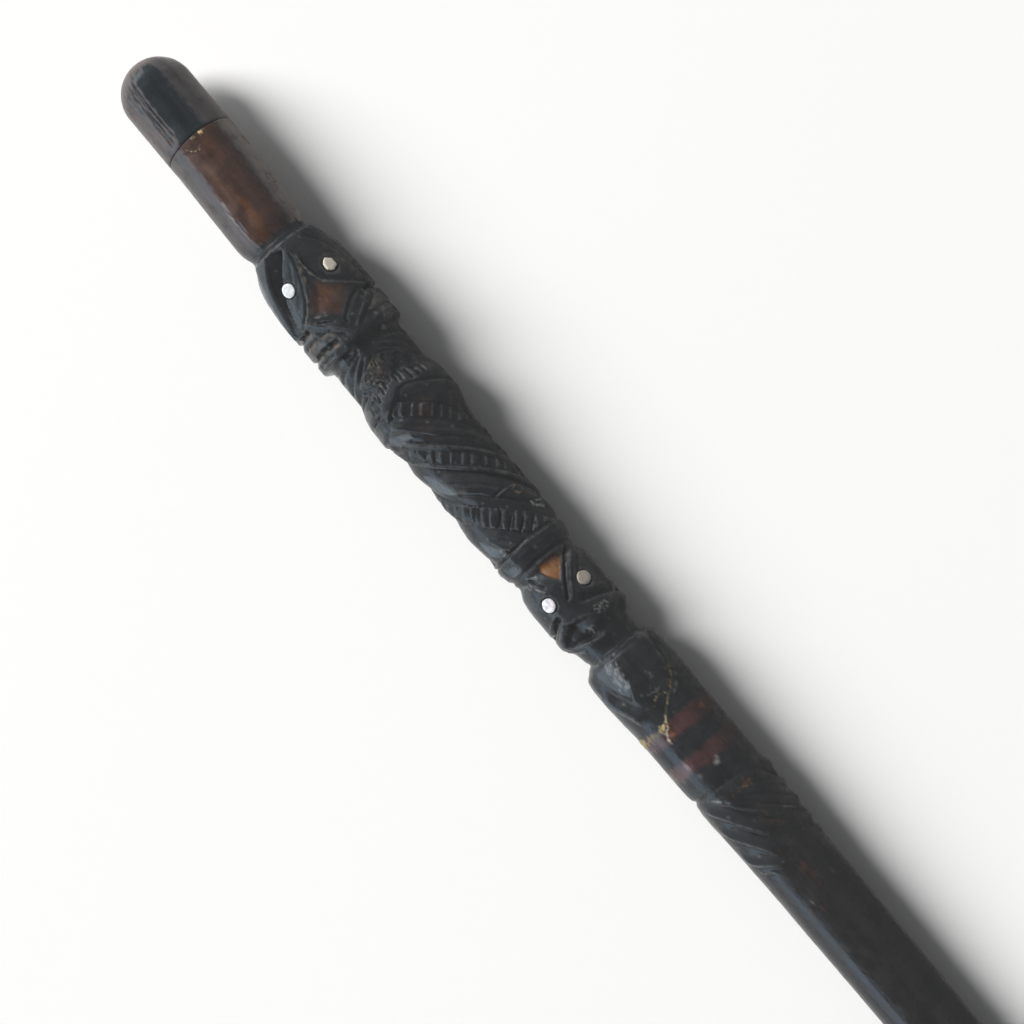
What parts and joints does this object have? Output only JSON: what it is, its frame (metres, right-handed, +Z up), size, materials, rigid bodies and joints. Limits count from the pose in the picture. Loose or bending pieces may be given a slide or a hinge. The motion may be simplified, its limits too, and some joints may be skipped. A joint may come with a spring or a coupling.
{
  "type": "carved walking stick",
  "caption": "Dark wooden walking stick with a domed handle, carved heads with shell eyes, a twisted and banded middle, and a plain tapering shaft, lying down.",
  "frame": {"origin": "middle of the bounding box, on the surface that the stick lies on", "axes": "+X along the stick from the domed handle end to the tip, +Z up out of the carved face, +Y to the right side of the picture"},
  "size_m": [0.9176, 0.039, 0.0385],
  "materials": {
    "dark_wood": "black stain and old varnish, rubbed brown on the grip and the raised carving",
    "black_cap": "blue-black paint over cracked grey-brown wood, worn at the sides",
    "shell_white": "polished white shell",
    "shell_cream": "chipped cream shell",
    "shell_iridescent": "polished shell with a pink and white sheen",
    "shell_grey": "dull grey-beige shell"
  },
  "bodies": {
    "root": {"stick": "dark_wood", "handle_cap": "black_cap", "eye_shell_upper_head_left": "shell_white", "eye_shell_upper_head_right": "shell_cream", "eye_shell_lower_head_left": "shell_iridescent", "eye_shell_lower_head_right": "shell_grey"}
  },
  "joints": []
}
